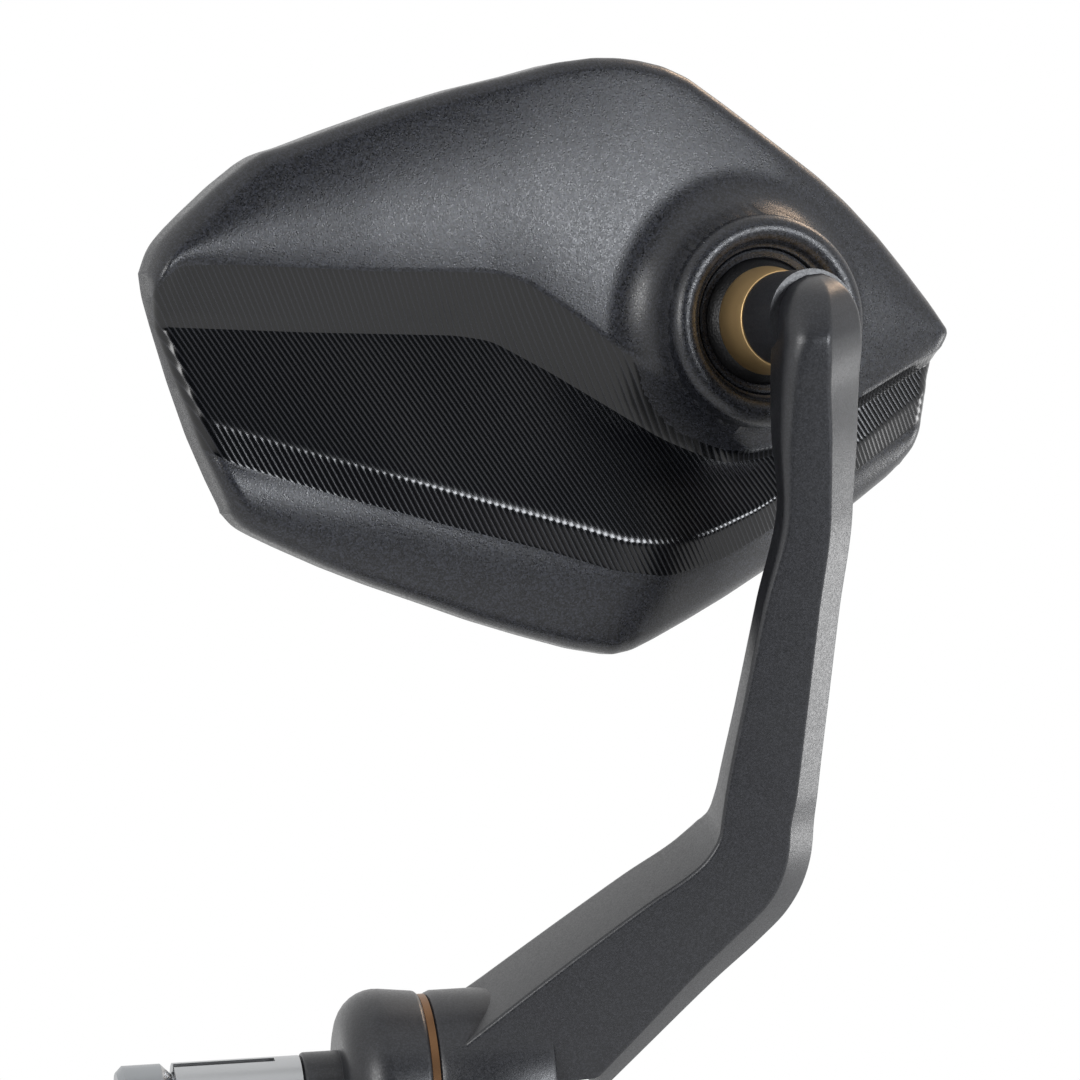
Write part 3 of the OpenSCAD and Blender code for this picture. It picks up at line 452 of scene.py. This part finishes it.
# Stations up the bar: x, z, direction, width, depth and the front face's y, then the bevel and the
# radii of the corners: front inboard, both of the bevel, both at the back
STATIONS = np.array([
    [21, -1.6, 40, 16, 20, -10.6, 2.6, 0.7, 0.7, 2.5],
    [24.4, 1.3, 40, 23, 21.4, -11.16, 2.8, 0.7, 0.7, 2.5],
    [31.8, 7.4, 40, 22.2, 20.4, -10.94, 3.3, 0.7, 0.7, 2.5],
    [41.8, 15.6, 40, 20.8, 19.4, -10.66, 3.9, 0.7, 0.7, 2.5],
    [53, 24.5, 40, 19.1, 18.6, -10.35, 4.8, 0.7, 0.7, 2.5],
    [61.7, 31.1, 40, 17.9, 18, -10.13, 5.2, 0.7, 0.8, 2.5],
    [64.4, 34, 46, 18.1, 16.6, -10.03, 5.3, 0.7, 0.8, 2.5],
    [66.2, 37.1, 58, 17.6, 14.8, -9.92, 5.3, 0.7, 0.8, 2.5],
    [67.1, 40.4, 70, 16.8, 12.8, -9.81, 5.2, 0.7, 0.8, 2.5],
    [67.4, 43.9, 79, 16.1, 10.8, -9.68, 5, 0.7, 0.7, 2.5],
    [68, 49, 82, 15.8, 8.8, -9.51, 4.5, 0.7, 0.7, 2.5],
    [69.9, 61.4, 82, 14.7, 8, -9.08, 4.4, 0.8, 0.7, 2.6],
    [72.5, 77.9, 82, 13.3, 7.8, -8.51, 4.4, 0.9, 0.7, 2.6],
    [75.2, 93.8, 83, 12, 8, -7.96, 4.6, 1.4, 0.8, 2.6],
    [75.4, 105, 88, 13.1, 11, -7.58, 5.3, 2.2, 1, 3],
    [75.7, 113, 90, 13.3, 13.4, -7.3, 6, 2.8, 1.4, 4],
    [76.1, 118, 90, 13.4, 14.6, -7.3, 6.4, 3.2, 1.4, 4],
    [76.25, 121.2, 90, 13, 14.4, -7.1, 6.4, 3.8, 1.6, 4.4],
    [76.3, 123.9, 90, 12.4, 12.6, -5.5, 5.8, 4, 1.6, 4.2],
    [76.3, 126.2, 90, 10.4, 10.4, -3.6, 4.6, 3.6, 1.4, 3.6],
    [76.3, 127.7, 90, 8, 8.3, -1.6, 3.2, 2.8, 1.2, 2.8],
    [76.3, 128.5, 90, 5.2, 5.8, 0.7, 2, 1.8, 0.9, 1.8],
    [76.3, 128.9, 90, 2.6, 3.2, 2.7, 0.9, 0.7, 0.5, 0.7]])


def section(width, depth, bevel, front, edge, rear):
    """The bar's section as [across, y]: square, with a bevel on the outboard front corner."""
    w, d = width / 2, depth / 2
    return rounded([[-w, -d, front], [w - bevel, -d, edge], [w, bevel - d, edge], [w, d, rear],
                    [-w, d, rear]], 9)


def spline(keys, values, at):
    """Smooth curve through rows of values at rising keys, a cubic between each two."""
    rise = np.diff(values, axis=0) / np.diff(keys).reshape((-1,) + (1,) * (values.ndim - 1))
    calm = np.where(rise[:-1] * rise[1:] > 0, 2 * rise[:-1] * rise[1:] / (rise[:-1] + rise[1:] + 1e-12), 0)
    slopes = np.concatenate([rise[:1], calm, rise[-1:]])
    k = np.clip(np.searchsorted(keys, at) - 1, 0, len(keys) - 2)
    gap = (keys[k + 1] - keys[k])
    t = ((at - keys[k]) / gap).reshape((-1,) + (1,) * (values.ndim - 1))
    gap = gap.reshape(t.shape)
    return ((2 * t ** 3 - 3 * t ** 2 + 1) * values[k] + (t ** 3 - 2 * t ** 2 + t) * gap * slopes[k]
            + (3 * t ** 2 - 2 * t ** 3) * values[k + 1] + (t ** 3 - t ** 2) * gap * slopes[k + 1])


lengths = np.concatenate([[0], np.cumsum(np.hypot(*np.diff(STATIONS[:, :2], axis=0).T))])
where = np.linspace(0, lengths[-1], 190)
outlines = spline(lengths, np.array([section(s[3], s[4], *s[6:]) for s in STATIONS]), where)
line = spline(lengths, np.column_stack([STATIONS[:, :3], STATIONS[:, 5] + STATIONS[:, 4] / 2]), where)
aim = np.radians(line[:, 2])
across = outlines[..., 0]
bar = np.stack([line[:, 0, None] + across * np.sin(aim)[:, None], outlines[..., 1] + line[:, 3, None],
                line[:, 1, None] - across * np.cos(aim)[:, None]], -1)
sides = bar.shape[1]
ids = np.arange(bar.shape[0] * sides).reshape(-1, sides)
bar_faces = np.stack([ids[:-1], np.roll(ids[:-1], -1, 1), np.roll(ids[1:], -1, 1), ids[1:]], -1)
bar_faces = bar_faces.reshape(-1, 4).tolist() + [ids[0].tolist(), ids[-1, ::-1].tolist()]


def along_bar(points):
    """Points turned from about z to about the handlebar's axis."""
    points = np.asarray(points, float)
    return np.column_stack([points[:, 2], points[:, 1], -points[:, 0]])


def combine(target, tools):
    """Joins or cuts the target with each (operation, tool) and drops the tools."""
    for operation, tool in tools:
        step = target.modifiers.new("step", "BOOLEAN")
        step.operation, step.object, step.solver = operation, tool, "EXACT"
    graph = bpy.context.evaluated_depsgraph_get()
    result = bpy.data.meshes.new_from_object(target.evaluated_get(graph))
    for made in [target] + [tool for _, tool in tools]:
        bpy.data.objects.remove(made)
    points = np.empty(len(result.vertices) * 3)
    result.vertices.foreach_get("co", points)
    return points.reshape(-1, 3) * 1000, [list(p.vertices) for p in result.polygons]


stem, stem_faces = revolve([[0, STEM_FROM], [STEM_R - 0.4, STEM_FROM], [STEM_R, STEM_FROM + 0.4],
                            [STEM_R, STEM_TO], [0, STEM_TO]], closed=False)
hub, hub_faces = revolve([[0, HUB_FROM], [HUB_R - 0.9, HUB_FROM], [HUB_R - 0.3, HUB_FROM + 0.3],
                          [HUB_R, HUB_FROM + 1], [HUB_R, HUB_TO - 1.2], [HUB_R - 0.4, HUB_TO - 0.3],
                          [HUB_R - 1.2, HUB_TO], [0, HUB_TO]], closed=False)
bore, bore_faces = revolve([[0, 10], [HUB_BORE, 10], [HUB_BORE, RECESS_FROM], [RECESS_R, RECESS_FROM],
                            [RECESS_R, 40], [0, 40]], closed=False)
socket, socket_faces = revolve([[0, STEM_FROM - 0.3], [SHANK_R + 0.05, STEM_FROM - 0.3],
                                [SHANK_R + 0.05, SHANK_END + 1.5], [0, SHANK_END + 1.5]], closed=False)
points, faces = combine(solid("bar", bar.reshape(-1, 3), bar_faces), [
    ("UNION", solid("stem", at_head(stem), stem_faces)),
    ("UNION", solid("hub", along_bar(hub), hub_faces)),
    ("DIFFERENCE", solid("bore", along_bar(bore), bore_faces)),
    ("DIFFERENCE", solid("socket", at_head(socket), socket_faces))])
# Forged aluminium, blasted and anodised black: a flatter grain than the head's, so a duller face
forged, tree, shader = surface("forged_black", "#1c1d20", 0.34)
flecks(tree, shader, grain(tree, shader, 0.24, 0.016), "#1d1e21", "#2b2c30", 0.3, 0.42)
piece("swing_bar", points, faces, [forged], "swing_arm", ["arm"])

# Bar end adapter: one turned aluminium piece, anodised like the arm. Its rounded flange continues
# the handlebar, its spigot centres it in the bar and its stub carries the arm's hub.
BOLT_BORE, SPIGOT_R, SPIGOT_LEN = 3.3, 6.9, 6.0
FLANGE_R, FLANGE_END_R, FLANGE_LEN, FLANGE_ROUND, STUB_R, STUB_END = 17.0, 15.5, 13.0, 6.3, 7.5, 24.7
points, faces = revolve(rounded(
    [[BOLT_BORE, -SPIGOT_LEN, 0.3], [SPIGOT_R, -SPIGOT_LEN, 0.6], [SPIGOT_R, 0, 0.05],
     [FLANGE_R, 0, FLANGE_ROUND], [FLANGE_END_R, FLANGE_LEN, 0.9], [STUB_R, FLANGE_LEN, 0.2],
     [STUB_R, STUB_END, 0.5], [BOLT_BORE, STUB_END, 0.3]], 10))
piece("adapter_flange", along_bar(points), faces, [forged], "bar_mount", ["bar_adapter"])

# Friction washer, bolt, spring washer, sleeve, cone and the small parts inside keep their solids.
# Each gets the material that it is made of.
def dress(names, material):
    """Gives the solids of those nodes the material."""
    for name in names:
        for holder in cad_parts[name].material_slots:
            holder.material = material


# Sintered bronze: a dull brown line between flange and hub
bronze = grained("friction_bronze_face", "#7a5c42", 0.42, 1.0, 0.4, 0.006)
# Zinc-plated steel: grey with a soft gloss
zinc = grained("zinc_steel_face", "#9a9da0", 0.34, 1.0, 0.6, 0.006)
# Bare turned aluminium: lighter than the zinc
bright = grained("bare_aluminium_face", "#b4b6b8", 0.36, 1.0, 0.5, 0.006)
# Moulded rubber: black and matt
rubber = grained("black_rubber_face", "#1b1b1c", 0.7, 0.0, 0.8, 0.02)
# Moulded acetal: cream, half matt
acetal = grained("cream_acetal_face", "#cfc6a6", 0.5, 0.0, 0.8, 0.01)
# Closed-cell foam tape: dark grey and dead matt, with open cells at its cut edge
foam = grained("foam_tape_face", "#2c2c2e", 0.9, 0.0, 0.5, 0.05)
dress(["friction_washer"], bronze)
dress(["hub_bush"], brass)
dress(["clamp_bolt", "bolt_washer", "spring_washer", "expander_cone", "stud_grub_screw", "disc_spring",
       "clamp_screws"], zinc)
dress(["expander_sleeve", "clamp_plate"], bright)
dress(["cap_seal", "rim_gasket"], rubber)
dress(["thrust_ring"], acetal)
dress(["glass_pad"], foam)
dress(["hub_cap"], forged)

# Mirror glass: convex, silvered behind, bedded in a black gasket inside the rim. It keeps its
# solid too. It reflects nearly all, faintly blue, with a wave too long to blur it.
dress(["mirror_glass"], grained("silvered_glass", "#c9ced1", 0.015, 1.0, 40.0, 0.002))

# Light, floor and camera: a white room with a dark front, a soft light high on the right and
# smaller ones on the left. The floor lies well below, where the handlebar would be held.
def seen_straight(tree):
    """One for rays from the camera, off a gloss or through glass, and zero for the rest."""
    path = add(tree, "LightPath")
    seen = add(tree, "Math", {"operation": "ADD"},
               {0: path.outputs["Is Camera Ray"], 1: path.outputs["Is Glossy Ray"]})
    seen = add(tree, "Math", {"operation": "ADD", "use_clamp": True},
               {0: seen.outputs[0], 1: path.outputs["Is Transmission Ray"]})
    return seen.outputs[0]


scene = bpy.context.scene
scene.view_settings.view_transform = "Standard"
world = bpy.data.worlds.new("room")
scene.world = world
world.use_nodes = True
tree = world.node_tree
tree.nodes.clear()
level = add(tree, "MapRange", {"To Min": 0.35, "To Max": 1.0}, {"Value": seen_straight(tree)})
glow = add(tree, "Background", {"Color": (1, 1, 1, 1)}, {"Strength": level.outputs[0]})
add(tree, "OutputWorld", links={"Surface": glow.outputs[0]})


def panel(name, centre, target, width, height):
    """A flat rectangle that faces the target."""
    back = np.array(centre, float) - np.array(target, float)
    back /= np.linalg.norm(back)
    side = np.cross([0, 0, 1.0], back)
    side /= np.linalg.norm(side)
    up = np.cross(back, side)
    mesh = bpy.data.meshes.new(name)
    corners = [np.array(centre) + a * side * width / 2 + b * up * height / 2
               for a, b in ((-1, -1), (1, -1), (1, 1), (-1, 1))]
    mesh.from_pydata([c.tolist() for c in corners], [], [[0, 1, 2, 3]])
    made = bpy.data.objects.new(name, mesh)
    scene.collection.objects.link(made)
    return made


def lamp(name, place, target, width, height, watts, colour=(1, 1, 1)):
    """A soft box at a place, turned to the target."""
    data = bpy.data.lights.new(name, "AREA")
    data.shape, data.size, data.size_y, data.energy = "RECTANGLE", width, height, watts
    data.color = colour
    made = bpy.data.objects.new(name, data)
    scene.collection.objects.link(made)
    made.location = place
    made.rotation_euler = (Vector(target) - Vector(place)).to_track_quat("-Z", "Y").to_euler()


# Two black flags that only reflections see keep the front faces dark
flag_face = surface("flag_black", "#050505", 0.9)[0]
front = panel("front_flag", (1.2, -1.7, 0.95), (1.2, 0, 0.95), 5.0, 3.6)
table = panel("table_flag", (0.6, -1.05, -0.15), (0.6, -1.0, 1.0), 3.4, 1.3)
for flag in (front, table):
    flag.data.materials.append(flag_face)
    flag.visible_camera = flag.visible_shadow = flag.visible_diffuse = False
lamp("key", (0.87, -1.02, 0.38), (0.03, 0, 0.1), 0.6, 0.35, 13, (0.92, 0.95, 1.0))
lamp("left_front", (-0.8, -0.9, 0.65), (0.05, 0, 0.1), 0.5, 0.5, 9)
lamp("right_strip", (0.52, 0.09, -0.085), (0.07, 0, 0.06), 0.16, 0.13, 0.55)
lamp("warm_back", (0.7, 0.75, 0.6), (0.07, 0, 0.12), 0.3, 0.3, 3, (1.0, 0.72, 0.5))

# The floor is plain white to all that looks at it, and is lit like any other face for the rest
FLOOR_Z, FLOOR_HALF = -0.16, 3.0
floor_face, tree, shader = surface("floor_white", "#f4f4f4", 0.8)
glow = add(tree, "Emission", {"Color": (1, 1, 1, 1), "Strength": 1.0})
shown = add(tree, "MixShader", links={0: seen_straight(tree), 1: shader.outputs[0], 2: glow.outputs[0]})
tree.links.new(shown.outputs[0], tree.nodes["Material Output"].inputs["Surface"])
mesh = bpy.data.meshes.new("floor")
mesh.from_pydata([(a * FLOOR_HALF, b * FLOOR_HALF, FLOOR_Z) for a, b in ((-1, -1), (1, -1), (1, 1), (-1, 1))],
                 [], [[0, 1, 2, 3]])
floor = bpy.data.objects.new("floor", mesh)
scene.collection.objects.link(floor)
mesh.materials.append(floor_face)

# The camera stands a metre off, turned from square and raised as in the photo, and is moved
# sideways until the ball's centre falls on its place in the photo
VIEW_TURN, VIEW_RISE, DISTANCE, LENS, SENSOR = 10, 16, 1.0, 210.0, 36.0
PHOTO_PX, BALL_PX = 1080, (747.0, 322.5)
view, rise = np.radians([VIEW_TURN, VIEW_RISE])
right = np.array([np.cos(view), -np.sin(view), 0])
back = np.array([-np.sin(view) * np.cos(rise), -np.cos(view) * np.cos(rise), np.sin(rise)])
up = np.cross(back, right)
px = DISTANCE * SENSOR / LENS / PHOTO_PX
target = BALL / 1000 - right * (BALL_PX[0] - PHOTO_PX / 2) * px - up * (PHOTO_PX / 2 - BALL_PX[1]) * px
camera = bpy.data.objects.new("camera", bpy.data.cameras.new("camera"))
camera.data.lens, camera.data.sensor_width = LENS, SENSOR
scene.collection.objects.link(camera)
axes = [(*axis, 0.0) for axis in (right, up, back)]
camera.matrix_world = Matrix(axes + [(*(target + back * DISTANCE), 1.0)]).transposed()
scene.camera = camera
